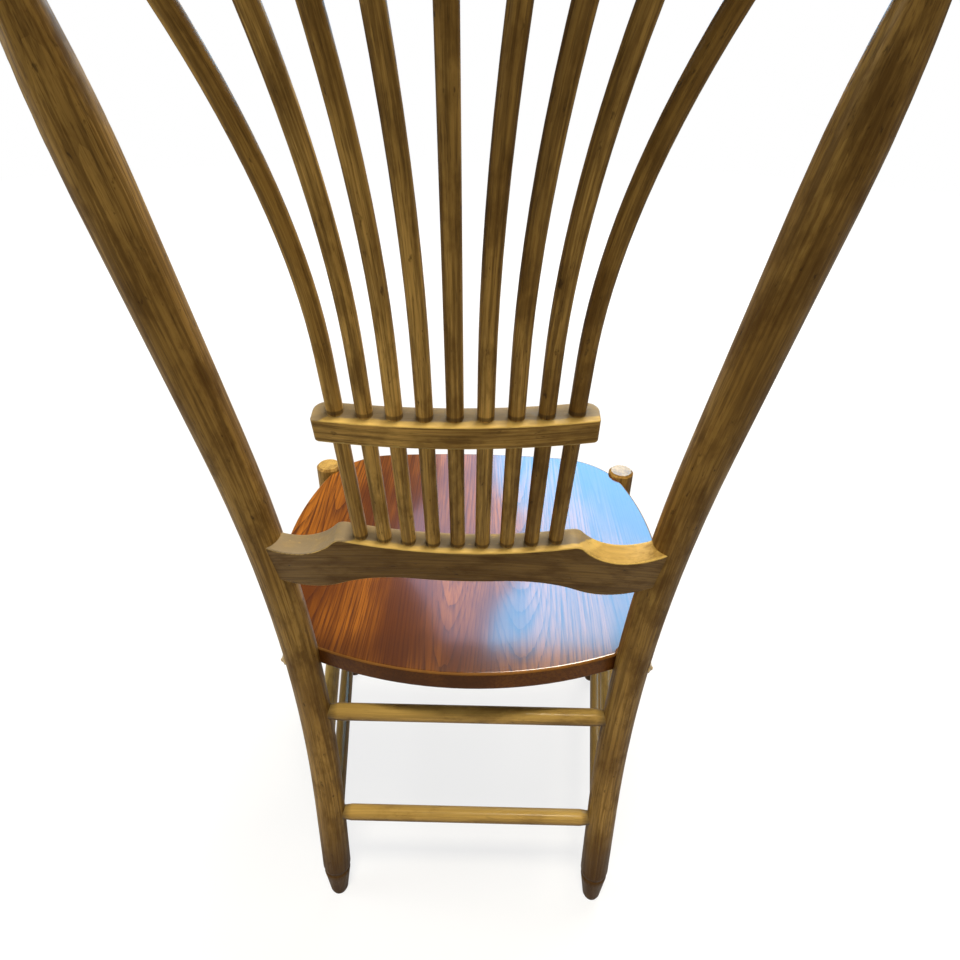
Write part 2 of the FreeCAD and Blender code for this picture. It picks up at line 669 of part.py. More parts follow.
round_edges(crest_face, crest_sawn, "crest_rounded", dim.crest_end_round, crest_upper_end)
crest_face.Placement = back_frame
crest_blank = doc.addObject("Part::Common", "crest_blank")
crest_blank.Base = crest_stock
crest_blank.Tool = crest_face
crest_eased = round_piece("crest_eased", crest_blank, dim.crest_arris, sawn_edge)
crest = cut("crest_rail", crest_eased, all_spindles + [post_left, post_right])

# Seat screws and the button plugs over them

def inward_from(turn, way):
    """Level direction from a left post into the seat, turned forward (-1) or back (1) from across."""
    angle = math.radians(turn.value)
    return Vector(-math.cos(angle), way * math.sin(angle), 0)


def screw_places():
    """Where each screw meets the wood's surface, with +Z pointing into the chair."""
    places = []
    rear_centre = post_centre(dim.screw_height.value)
    front_centre = leg_spot + upward * dim.screw_height.value
    for centre, inward in ((rear_centre, inward_from(dim.rear_screw_turn, -1)),
                           (front_centre, inward_from(dim.front_screw_turn, 1))):
        surface = centre - inward * post_radius.value
        for side in (LEFT, RIGHT):
            mirror = (lambda spot: spot) if side == LEFT else flip
            places.append(Placement(mirror(surface), Rotation(upward, mirror(inward))))
    return places


screws, plugs = [], []
for number, place in enumerate(screw_places(), start=1):
    screw = new_body(f"seat_screw_{number}")
    screw_sketch = new_sketch(screw, f"seat_screw_{number}_section", "XZ_Plane")
    head_top = dim.screw_depth
    shank_top = head_top + dim.screw_head
    tip = shank_top + dim.screw_length
    half_screw = Outline(screw_sketch, 0, head_top).line(dim.screw_head_diameter / 2, head_top)
    half_screw.line(dim.screw_head_diameter / 2, head_top + dim.screw_head_edge)
    half_screw.line(dim.screw_shank_diameter / 2, shank_top)
    half_screw.line(dim.screw_shank_diameter / 2, tip - dim.screw_point)
    half_screw.line(0, tip).close()
    revolve(screw, screw_sketch, f"seat_screw_{number}_turned")
    screw.Placement = place
    screws.append(screw)
    plug = new_body(f"button_plug_{number}")
    plug_sketch = new_sketch(plug, f"button_plug_{number}_section", "XZ_Plane")
    half_cap = dim.plug_cap_diameter / 2
    dome = dim.plug_cap_crown
    half_peg = dim.plug_peg_diameter / 2
    half_plug = Outline(plug_sketch, 0, dim.screw_depth).line(half_peg, dim.screw_depth)
    half_plug.line(half_peg, dim.plug_cap_rim).line(half_cap, dim.plug_cap_rim)
    half_plug.line(half_cap, -dim.plug_cap_edge)
    half_plug.arc(dim.plug_cap_flat, -dome, sagging_radius(half_cap, dome - dim.plug_cap_edge), left=True)
    half_plug.line(0, -dome).close()
    revolve(plug, plug_sketch, f"button_plug_{number}_turned")
    plug.Placement = place
    plugs.append(plug)

# Seat: a sawn plank, notched for the posts, eased all round and dished

seat = new_body("seat_blank")
seat_low = dim.seat_height - dim.seat_thickness
seat_sketch = new_sketch(seat, "seat_plan", "XY_Plane", raised=seat_low)


def rear_at(out):
    """How far back the seat's rear edge is, so far from the middle."""
    radius = dim.seat_rear_radius
    return dim.seat_rear - radius + root(radius * radius - out * out)


def side_at(ahead):
    """How far from the middle the seat's side is, so far ahead of the origin."""
    away = ahead - dim.seat_widest
    radius = dim.seat_side_radius
    return dim.seat_half_width - radius + root(radius * radius - away * away)


rear_corner = dim.seat_rear_corner
rear_corner_back = rear_at(rear_corner)
side_end = side_at(-dim.seat_side_end)
front_corner_ahead = dim.seat_front - dim.seat_front_sag
front_corner = side_at(front_corner_ahead)
plan = Outline(seat_sketch, rear_corner, rear_corner_back)
plan.arc(-rear_corner, rear_corner_back, dim.seat_rear_radius, left=True)
plan.line(-side_end, dim.seat_side_end)
plan.arc(-front_corner, -front_corner_ahead, dim.seat_side_radius, left=True)
front_radius = sagging_radius(front_corner, dim.seat_front_sag)
plan.arc(front_corner, -front_corner_ahead, front_radius, left=True)
plan.arc(side_end, dim.seat_side_end, dim.seat_side_radius, left=True)
plan.close()
seat_pad = pad(seat, seat_sketch, "seat_sawn", dim.seat_thickness)


def seat_front_corner(edge):
    """An upright edge at the front of the seat."""
    ends = [corner.Point for corner in edge.Vertexes]
    return abs(ends[0].z - ends[-1].z) > 1 and ends[0].y < 0


seat_cornered = round_edges(seat, seat_pad, "seat_cornered", dim.seat_corner_radius, seat_front_corner)
notch_sketch = new_sketch(seat, "seat_notches", "XY_Plane", raised=dim.seat_height)
notch_radius = post_radius + dim.notch_gap
rear_inward = inward_from(dim.rear_screw_turn, -1)
notch_centre = post_centre(dim.seat_height.value) - rear_inward * (dim.notch_gap.value + dim.notch_bite.value)
for side in (LEFT, RIGHT):
    held_circle(notch_sketch, side * notch_centre.x, notch_centre.y, notch_radius)
notched = seat.newObject("PartDesign::Pocket", "seat_notched")
notched.Profile = notch_sketch
bind(notched, "Length", dim.seat_thickness)


def notch_corner(edge):
    """An upright edge where a notch meets the seat's outline."""
    ends = [corner.Point for corner in edge.Vertexes]
    return abs(ends[0].z - ends[-1].z) > 1 and ends[0].y > 0


notch_eased = round_edges(seat, notched, "seat_notch_eased", dim.notch_round, notch_corner)
top_eased = round_edges(seat, notch_eased, "seat_top_eased", dim.seat_top_round, level_edge(dim.seat_height))
seat_eased = round_edges(seat, top_eased, "seat_eased", dim.seat_bottom_round, level_edge(seat_low))

dish = new_sketch(seat, "seat_dish_section", "XZ_Plane", raised=dim.dish_middle)
dish_turn = (dim.dish_radius * dim.dish_radius + dim.dish_depth * dim.dish_depth) / (dim.dish_depth * 4)
dish_low = dim.seat_height - dim.dish_depth
hollow = Outline(dish, 0, dish_low)
hollow.arc(dim.dish_radius / 2, dim.seat_height - dim.dish_depth / 2, dish_turn, left=True)
hollow.arc(dim.dish_radius, dim.seat_height, dish_turn, left=False)
hollow.line(0, dim.seat_height).close()
revolve(seat, dish, "seat_dished", kind="Groove")

# Joints: each piece is let into the one that receives it

finished_seat = cut("seat", seat, [post_left, post_right, leg, leg_right] + screws)
rear_left = cut("rear_post_left", post_left, rear_rungs + side_rungs + [tenon, screws[0], plugs[0]])
front_left = cut("front_leg_left", leg, front_rungs + side_rungs + [screws[2], plugs[2]])
rear_right = mirrored("rear_post_right", rear_left)
front_right = mirrored("front_leg_right", front_left)
screw_group = doc.addObject("Part::Compound", "seat_screws")
screw_group.Links = screws
plug_group = doc.addObject("Part::Compound", "button_plugs")
plug_group.Links = plugs

nodes = [finished_seat, rear_left, rear_right, front_left, front_right, rail, bar, crest]
nodes += [screw_group, plug_group] + all_spindles + rear_rungs + side_rungs + side_rungs_right + front_rungs

doc.recompute()
for item in doc.Objects:
    if "Invalid" in item.State or "Error" in item.State:
        raise RuntimeError(f"{item.Label} did not compute: {item.State}")
os.makedirs("parts", exist_ok=True)
for node in nodes:
    shape = node.Shape
    if shape.isNull() or not shape.isValid() or not shape.Solids:
        raise RuntimeError(f"{node.Label} has no valid solid")
    shape.exportStep(f"parts/{node.Label}.step")
    print(node.Label, len(shape.Solids), "solid", round(shape.Volume), "mm3")
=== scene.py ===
# %% [markdown]
# # A wheat back dining chair
# The chair has nine thin spindles that a short bar gathers like a sheaf of wheat, two bent rear posts, a
# solid plank seat and a ladder of rungs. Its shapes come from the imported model, in metres, with the seat's
# front towards -Y and the floor at zero. This lesson gives the pieces their wood, light and camera.

# %% Load the chair
import json
from math import cos, radians, sin

import bpy
import numpy as np
from mathutils import Matrix, Vector

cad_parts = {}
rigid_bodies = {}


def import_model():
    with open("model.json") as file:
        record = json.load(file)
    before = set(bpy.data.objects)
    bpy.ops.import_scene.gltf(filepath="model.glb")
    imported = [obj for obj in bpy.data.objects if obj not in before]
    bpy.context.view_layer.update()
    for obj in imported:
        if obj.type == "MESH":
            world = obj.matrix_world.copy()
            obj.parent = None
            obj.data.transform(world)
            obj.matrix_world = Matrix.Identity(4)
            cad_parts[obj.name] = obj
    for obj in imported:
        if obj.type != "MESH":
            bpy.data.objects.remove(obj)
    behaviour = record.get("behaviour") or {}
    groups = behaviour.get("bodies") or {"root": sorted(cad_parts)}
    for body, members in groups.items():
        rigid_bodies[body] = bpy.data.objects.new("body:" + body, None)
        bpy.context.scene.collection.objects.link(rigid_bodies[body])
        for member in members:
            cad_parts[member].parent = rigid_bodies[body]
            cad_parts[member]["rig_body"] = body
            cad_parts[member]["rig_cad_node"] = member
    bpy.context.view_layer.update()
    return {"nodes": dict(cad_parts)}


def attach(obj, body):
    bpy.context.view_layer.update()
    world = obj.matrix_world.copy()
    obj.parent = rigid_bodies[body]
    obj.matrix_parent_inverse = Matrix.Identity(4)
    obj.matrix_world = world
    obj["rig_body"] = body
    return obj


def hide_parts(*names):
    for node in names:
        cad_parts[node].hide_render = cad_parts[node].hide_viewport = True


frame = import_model()
nodes = frame["nodes"]
print("loaded", len(nodes), "nodes")

# %% [markdown]
# ## The camera
# The picture was taken standing behind the chair and looking down over its back, from very near, so the
# posts spread wide at the top. A camera could be turned by hand until it looks right. Here its place, tilt
# and focal length come from a fit of the chair's known straight lines, and the three axes are built from
# the angles.

# %% Set the camera
IMAGE_SIDE = 960
FOCAL_PIXELS = 682.5
EYE = Vector((-0.0148, 0.6063, 0.9812))
LOOK_DOWN = radians(33.38)
LOOK_ASIDE = radians(-0.47)
HEAD_TILT = radians(-0.95)

ahead = Vector((-sin(LOOK_ASIDE), -cos(LOOK_ASIDE), 0))
rightwards = Vector((-cos(LOOK_ASIDE), sin(LOOK_ASIDE), 0))
skyward = Vector((0, 0, 1))
gaze = ahead * cos(LOOK_DOWN) - skyward * sin(LOOK_DOWN)
crown = skyward * cos(LOOK_DOWN) + ahead * sin(LOOK_DOWN)
picture_right = rightwards * cos(HEAD_TILT) - crown * sin(HEAD_TILT)
picture_up = rightwards * sin(HEAD_TILT) + crown * cos(HEAD_TILT)

camera_data = bpy.data.cameras.new("camera")
camera_data.sensor_width = 36
camera_data.lens = FOCAL_PIXELS / IMAGE_SIDE * camera_data.sensor_width
camera = bpy.data.objects.new("camera", camera_data)
axes = Matrix((picture_right, picture_up, -gaze)).transposed()
camera.matrix_world = Matrix.Translation(EYE) @ axes.to_4x4()
bpy.context.scene.collection.objects.link(camera)
bpy.context.scene.camera = camera
print("camera lens", round(camera_data.lens, 2), "mm at", [round(v, 3) for v in EYE])

# %% [markdown]
# ## Arithmetic for shaders
# A finish is a small net of nodes, and most of them only add or multiply. Linking each by hand is slow to
# read. This class stands for one output of the net, and plain Python arithmetic on it adds the Math nodes,
# so a finish reads like a formula. Every other node comes from the one method `node`.

# %% A socket that can be reckoned with
class Strand:
    """One output socket of a finish's nodes."""

    def __init__(self, tree, socket=None):
        self.tree = tree
        self.socket = socket

    def node(self, kind, settings=None, sockets=None, output=0):
        made = self.tree.nodes.new(kind)
        for name, value in (settings or {}).items():
            if name == "stops":
                self.set_stops(made.color_ramp, value)
            else:
                setattr(made, name, value)
        for name, value in (sockets or {}).items():
            if isinstance(value, Strand):
                self.tree.links.new(value.socket, made.inputs[name])
            else:
                made.inputs[name].default_value = value
        return Strand(self.tree, made.outputs[output] if made.outputs else None)

    def set_stops(self, ramp, stops):
        while len(ramp.elements) < len(stops):
            ramp.elements.new(1)
        for element, (place, shade) in zip(ramp.elements, stops):
            element.position = place
            element.color = (*shade, 1)

    def sum(self, operation, first, second):
        return self.node("ShaderNodeMath", {"operation": operation}, {0: first, 1: second})

    def __add__(self, other):
        return self.sum("ADD", self, other)

    def __radd__(self, other):
        return self.sum("ADD", other, self)

    def __sub__(self, other):
        return self.sum("SUBTRACT", self, other)

    def __rsub__(self, other):
        return self.sum("SUBTRACT", other, self)

    def __mul__(self, other):
        return self.sum("MULTIPLY", self, other)

    def __rmul__(self, other):
        return self.sum("MULTIPLY", other, self)

    def __pow__(self, other):
        return self.sum("POWER", self, other)

    def __mod__(self, other):
        return self.sum("FLOORED_MODULO", self, other)

    def split(self):
        return [self.node("ShaderNodeSeparateXYZ", None, {0: self}, place) for place in range(3)]

    def noise(self, scale, detail=2, rough=0.5):
        stretched = self.node("ShaderNodeMapping", None, {"Vector": self, "Scale": scale})
        sockets = {"Vector": stretched, "Scale": 1, "Detail": detail, "Roughness": rough}
        return self.node("ShaderNodeTexNoise", {"normalize": True}, sockets)

    def between(self, low, high):
        settings = {"interpolation_type": "SMOOTHSTEP"}
        return self.node("ShaderNodeMapRange", settings, {"Value": self, "From Min": low, "From Max": high})

    def blend(self, first, second):
        settings = {"data_type": "RGBA"}
        sockets = {0: self, 6: first, 7: second}
        return self.node("ShaderNodeMix", settings, sockets, 2)


def start_finish(name):
    finish = bpy.data.materials.new(name)
    finish.use_nodes = True
    finish.node_tree.nodes.clear()
    return finish, Strand(finish.node_tree)


def close_finish(net, surface):
    net.node("ShaderNodeOutputMaterial", None, {"Surface": surface})


def paint(piece, finish):
    piece.data.materials.clear()
    piece.data.materials.append(finish)


print("shader arithmetic ready")

# %% [markdown]
# ## The floor
# A pale floor carries the chair's shadow and runs into a white surround. A white sheet bent up behind the
# chair would be simpler, but its white would light the wood from all sides. So the floor is a dull grey
# disc that glows for the camera, and a little in mirrors. The glow grows outwards, so the shadow stays
# near the chair and the rim of the disc can't be seen.

# %% Lay the floor
FLOOR_RADIUS = 6.0
FLOOR_GREY = (0.18, 0.18, 0.18, 1)
WHITE = (1, 1, 1, 1)
MIRRORED_SHARE = 0.35
NEAR_GLOW = 0.76
GLOW_START = 0.8
GLOW_END = 2.6

bpy.ops.object.select_all(action="DESELECT")
bpy.ops.mesh.primitive_circle_add(vertices=96, radius=FLOOR_RADIUS, fill_type="NGON", location=(0, 0, 0))
floor = bpy.context.object
floor.name = "floor"

floor_paint, net = start_finish("floor_paint")
seen = net.node("ShaderNodeLightPath", None, None, "Is Camera Ray")
mirrored = net.node("ShaderNodeLightPath", None, None, "Is Glossy Ray")
passed = net.node("ShaderNodeLightPath", None, None, "Is Transmission Ray")
chalk = net.node("ShaderNodeBsdfDiffuse", None, {"Color": FLOOR_GREY})
spot = net.node("ShaderNodeTexCoord", None, None, "Object").split()
from_middle = (spot[0] * spot[0] + spot[1] * spot[1]) ** 0.5
shown = seen + (mirrored + passed) * MIRRORED_SHARE
glow_strength = shown * (NEAR_GLOW + from_middle.between(GLOW_START, GLOW_END) * (1 - NEAR_GLOW))
glow = net.node("ShaderNodeEmission", None, {"Color": WHITE, "Strength": glow_strength})
close_finish(net, net.node("ShaderNodeAddShader", None, {0: chalk, 1: glow}))
paint(floor, floor_paint)
print("floor of radius", FLOOR_RADIUS)

# %% [markdown]
# ## The lamps
# The chair is lit as in a room. A warm ceiling lamp hangs a little behind it, so that upward faces glow and
# the seat shades the upper rung, and a second lamp hangs ahead. Two wide, weak lamps stand for the light
# that the walls give back, and a side window brightens the rods' left sides. One soft lamp would be simpler,
# but the golden edges and the blue half of the seat need several. The ceiling lamp and the walls give
# light and aren't mirrored. The window ahead, its curtain and the ceiling lamp's small gleam are only
# mirrored, by the varnished seat most of all, so that they don't tint the wood.

# %% Hang the lamps
LAMP_AIM = Vector((0, 0, 0.4))
WINDOW_MIDDLE = Vector((-0.78, -2.0, 1.95))
CURTAIN_MIDDLE = Vector((0.07, -2.0, 1.95))
CEILING_LIGHT = (1, 0.92, 0.76)
FRONT_LIGHT = (1, 0.94, 0.82)
ROOM_LIGHT = (1, 0.97, 0.92)
WALL_LIGHT = (1, 0.94, 0.84)
SKY_LIGHT = (0.13, 0.55, 1)
CURTAIN_LIGHT = (0.75, 0.62, 0.9)
SIDE_LIGHT = (0.93, 0.97, 1)


def hang_lamp(name, place, aim, wide, high, power, tint):
    lamp_data = bpy.data.lights.new(name, "AREA")
    lamp_data.shape = "RECTANGLE"
    lamp_data.size = wide
    lamp_data.size_y = high
    lamp_data.energy = power
    lamp_data.color = tint
    lamp = bpy.data.objects.new(name, lamp_data)
    place = Vector(place)
    turn = (aim - place).to_track_quat("-Z", "Y").to_matrix()
    lamp.matrix_world = Matrix.Translation(place) @ turn.to_4x4()
    lamp.visible_camera = False
    bpy.context.scene.collection.objects.link(lamp)
    return lamp


ceiling_lamp = hang_lamp("ceiling_lamp", (0.05, 0.74, 3.1), LAMP_AIM, 0.6, 0.6, 106, CEILING_LIGHT)
hang_lamp("front_lamp", (-0.7, -0.9, 2.7), LAMP_AIM, 1.2, 0.8, 60, FRONT_LIGHT)
room_bounce = hang_lamp("room_bounce", (-0.9, -3.2, 1.7), LAMP_AIM, 2.4, 2.0, 45, ROOM_LIGHT)
wall_bounce = hang_lamp("wall_bounce", (-1.1, 3.4, 1.5), LAMP_AIM, 2.4, 2.0, 31, WALL_LIGHT)
for lamp in (ceiling_lamp, room_bounce, wall_bounce):
    lamp.visible_glossy = False
window_aim = Vector((WINDOW_MIDDLE.x, 0, WINDOW_MIDDLE.z))
curtain_aim = Vector((CURTAIN_MIDDLE.x, 0, CURTAIN_MIDDLE.z))
window = hang_lamp("window", WINDOW_MIDDLE, window_aim, 1.45, 1.5, 50, SKY_LIGHT)
curtain = hang_lamp("curtain", CURTAIN_MIDDLE, curtain_aim, 0.25, 1.4, 2.1, CURTAIN_LIGHT)
ceiling_shine = hang_lamp("ceiling_shine", (-0.35, 0.74, 3.1), LAMP_AIM, 0.3, 0.3, 25, CEILING_LIGHT)
for lamp in (window, curtain, ceiling_shine):
    lamp.visible_diffuse = False
hang_lamp("side_window", (2.6, 0.2, 1.4), LAMP_AIM, 1.2, 1.4, 42, SIDE_LIGHT)
print(len(bpy.data.lights), "lamps hung")

# %% [markdown]
# ## The room around
# The camera sees white around the chair. A white room all round would be simplest, but it would wash out the
# wood's colour. So everything else sees a dim grey room with a darker, warmer ceiling, which is also what the
# varnish mirrors where no window is.

# %% Paint the room
ROOM_GREY = (0.16, 0.16, 0.16)
CEILING_BROWN = (0.055, 0.045, 0.035)
room_stops = [(0, ROOM_GREY), (0.6, ROOM_GREY), (0.75, CEILING_BROWN), (1, CEILING_BROWN)]

world = bpy.data.worlds.new("room")
world.use_nodes = True
world.node_tree.nodes.clear()
net = Strand(world.node_tree)
height = net.node("ShaderNodeTexCoord", None, None, "Generated").split()[2]
room = net.node("ShaderNodeValToRGB", {"stops": room_stops}, {"Fac": height * 0.5 + 0.5})
seen = net.node("ShaderNodeLightPath", None, None, "Is Camera Ray")
surround = seen.blend(room, WHITE)
room_light = net.node("ShaderNodeBackground", None, {"Color": surround, "Strength": 1.0})
net.node("ShaderNodeOutputWorld", None, {"Surface": room_light})
bpy.context.scene.world = world
bpy.context.scene.view_settings.view_transform = "Standard"
print("room painted")

# %% [markdown]
# ## Smooth copies of the pieces
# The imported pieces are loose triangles, so a turned rod would show flat facets in its shine. A rod could be
# spun anew from a profile, but the shapes are right as they are. So each piece is copied, its corners are
# merged, soft angles are shaded smooth, and weighted normals keep the flat faces flat beside their rounded
# edges. The normals that come with the loose triangles don't fit the merged corners, so they are cleared
# first.

# %% Copy, merge and smooth
MERGE_WITHIN = 0.00001
SMOOTH_BELOW = radians(32)
FLAT_WEIGHT = 60


def smooth_copy(name):
    bpy.ops.object.select_all(action="DESELECT")
    source = nodes[name]
    source.select_set(True)
    bpy.context.view_layer.objects.active = source
    bpy.ops.object.duplicate()
    piece = bpy.context.object
    piece.name = name + "_wood"
    bpy.ops.mesh.customdata_custom_splitnormals_clear()
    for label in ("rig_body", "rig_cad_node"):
        if label in piece:
            del piece[label]
    bpy.ops.object.mode_set(mode="EDIT")
    bpy.ops.mesh.select_all(action="SELECT")
    bpy.ops.mesh.remove_doubles(threshold=MERGE_WITHIN)
    bpy.ops.object.mode_set(mode="OBJECT")
    bpy.ops.object.shade_smooth_by_angle(angle=SMOOTH_BELOW)
    bpy.ops.object.modifier_add(type="WEIGHTED_NORMAL")
    weighting = piece.modifiers[-1]
    weighting.weight = FLAT_WEIGHT
    weighting.keep_sharp = True
    bpy.ops.object.modifier_apply(modifier=weighting.name)
    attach(piece, "root")
    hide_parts(name)
    return piece


print("smoothing ready")

# %% [markdown]
# ## Which way the grain runs
# Wood is split and bent along its grain, so the streaks follow a bent spindle to its tip. Object coordinates
# run straight through a bend. So each corner of a piece stores where it lies in the straight blank: its
# distance from the piece's middle line, and its place along it. Each blank is turned and moved to its own
# part of the tree. A second number says how much glaze the piece keeps, and on the spindles how much painted
# shade they get. Faces can be marked too, for the edges that hands rub and for painted highlights.

# %% Store the blank's coordinates
ALONG = {"x": 0, "y": 1, "z": 2}
BLANK_TURN = 1.13
BLANK_STEP = Vector((0.37, 0.23, 0.71))


def corners(piece):
    spots = np.empty(len(piece.data.vertices) * 3)
    piece.data.vertices.foreach_get("co", spots)
    return spots.reshape(-1, 3)


def face_normals(piece):
    normals = np.empty(len(piece.data.polygons) * 3)
    piece.data.polygons.foreach_get("normal", normals)
    return normals.reshape(-1, 3)


def mark_corners(piece, name, values):
    store = piece.data.attributes.new(name, "FLOAT", "POINT")
    store.data.foreach_set("value", values)


def mark_corner_vectors(piece, name, vectors):
    store = piece.data.attributes.new(name, "FLOAT_VECTOR", "POINT")
    store.data.foreach_set("vector", vectors.ravel())


def mark_faces(piece, name, chosen):
    store = piece.data.attributes.new(name, "FLOAT", "FACE")
    store.data.foreach_set("value", chosen.astype(float))
    return int(chosen.sum())


def lay_grain(piece, along, degree, blank, stain):
    spots = corners(piece)
    length = spots[:, ALONG[along]]
    across = []
    for axis in range(3):
        if axis != ALONG[along]:
            middle_line = np.polyfit(length, spots[:, axis], degree)
            across.append(spots[:, axis] - np.polyval(middle_line, length))
    turn = BLANK_TURN * blank
    grain = np.empty_like(spots)
    grain[:, 0] = across[0] * cos(turn) - across[1] * sin(turn) + BLANK_STEP.x * blank
    grain[:, 1] = across[0] * sin(turn) + across[1] * cos(turn) + BLANK_STEP.y * blank
    grain[:, 2] = length + BLANK_STEP.z * blank
    mark_corner_vectors(piece, "grain", grain)
    # The second number is the piece's glaze, and on the spindles their painted shade.
    mark_corners(piece, "stain", np.full(len(spots), stain))


print("grain ready")

# %% [markdown]
# ## Posts and legs
# The rear posts are steamed and bent round rods, and the front legs are straight ones. A fifth degree curve
# through a bent post's corners is near enough its middle line for the grain to follow. The legs' flat tops
# stand above the seat, where hands rub and polish them, so their upward faces are marked.

# %% Dress the posts and legs
POST_STAIN = 0.65
TOP_RISE = 0.8
TOP_RUB = 0.45
uprights = {"rear_post_left": 5, "rear_post_right": 5, "front_leg_left": 1, "front_leg_right": 1}
frame_pieces = []
for blank, (name, degree) in enumerate(uprights.items(), start=1):
    post = smooth_copy(name)
    lay_grain(post, "z", degree, blank, POST_STAIN)
    tops = face_normals(post)[:, 2] > TOP_RISE
    mark_faces(post, "polished", tops)
    mark_faces(post, "rubbed", tops * TOP_RUB)
    frame_pieces.append(post)
    print(post.name, len(post.data.polygons), "faces")

# %% [markdown]
# ## Spindles
# Nine thin dowels rise from the lower rail through the tie bar and fan out into the crest. They are cut from
# the same wood, so their places in the tree differ. Their colour also carries painted shade: it grows from
# one side of the back to the other, and towards the crest.

# %% Dress the spindles
MIDDLE_SPINDLE = 5
SIDE_SHADE_STEP = 0.08
CREST_SHADE = 0.4
SHADE_START = 0.86
SHADE_RUN = 0.12
spindles = []
for number in range(1, 10):
    spindle = smooth_copy(f"spindle_{number}")
    # Painted shade: the spindles darken towards the crest and from one side of the back to the other.
    nearing_crest = np.clip((corners(spindle)[:, 2] - SHADE_START) / SHADE_RUN, 0, 1)
    spindle_shade = SIDE_SHADE_STEP * (MIDDLE_SPINDLE - number) + CREST_SHADE * nearing_crest
    lay_grain(spindle, "z", 5, 10 + number, spindle_shade)
    spindles.append(spindle)
frame_pieces += spindles
print(len(spindles), "spindles dressed")

# %% [markdown]
# ## Rungs
# The rungs are turned with their grain lengthwise: across the chair at the front and rear, and from front to
# rear at the sides. Their upper sides get a painted highlight, paler where light falls from above, and wax
# polishes them. Glaze gathers where they taper into their joints, so the ends are marked as well.

# %% Dress the rungs
RUNG_STAIN = 0.1
RUNG_TOP_LIGHT = 0.65
RUNG_LIGHT_ALL_ROUND = 0.2
RUNG_POLISH = 0.5
TENON = 0.021
TAPER = 0.009
crossing = ["rear_rung_upper", "rear_rung_lower", "front_rung_upper", "front_rung_lower"]
sidelong = [f"side_rung_{side}_{level}" for side in ("left", "right") for level in ("upper", "lower")]
for blank, name in enumerate(crossing + sidelong, start=21):
    rung = smooth_copy(name)
    along = "x" if name in crossing else "y"
    lay_grain(rung, along, 1, blank, RUNG_STAIN)
    normals = face_normals(rung)
    # Painted highlight: each rung is paler the more a face turns up towards the light.
    mark_faces(rung, "rubbed", np.clip(normals[:, 2] * RUNG_TOP_LIGHT + RUNG_LIGHT_ALL_ROUND, 0, 1))
    mark_faces(rung, "polished", np.full(len(normals), RUNG_POLISH))
    length = corners(rung)[:, ALONG[along]]
    from_middle = abs(length - (length.min() + length.max()) / 2)
    mark_corners(rung, "nook", np.clip((from_middle - from_middle.max() + TENON) / TAPER + 1, 0, 1))
    frame_pieces.append(rung)
print(len(crossing + sidelong), "rungs dressed")

# %% [markdown]
# ## Where the spindles stand
# Glaze and wax gather where a spindle goes into a rail, and painted shade falls round it, so the rails have
# to know where the spindles are.
# Their places could be written down again, but then they could differ from the model. A spindle is straight
# below its bend, so its middle line there runs through the middles of its two lowest rings of corners.

# %% Find the spindles' feet
RING_SPREAD = 0.004
RING_APART = 0.05


def lowest_ring(spots):
    return spots[spots[:, 2] < spots[:, 2].min() + RING_SPREAD].mean(axis=0)


def foot_line(spindle):
    spots = corners(spindle)
    low = lowest_ring(spots)
    return low, lowest_ring(spots[spots[:, 2] > low[2] + RING_APART]) - low


def away_from(spots, line):
    start, run = line
    along = (spots[:, 2:3] - start[2]) / run[2]
    return np.linalg.norm(spots - start - along * run, axis=1)


spindle_lines = [foot_line(spindle) for spindle in spindles]
print(len(spindle_lines), "spindle lines found")

# %% [markdown]
# ## Rails and tie bar
# The crest, the lower rail and the tie bar are sawn and bent boards. Their rounded edges are rubbed to a
# paler gold under a painted highlight, so the faces that turn between the top and the front are marked. On
# the upper faces of the lower two the rear strip gets a painted golden highlight, and the part before and
# between the spindles a painted grey sheen. So each corner stores how far back it lies on its board, and how
# near the next spindle is. In the lower rail's scooped ends the first number is shifted, so that one scoop
# takes the painted grey sheen all over and the other the painted golden highlight.

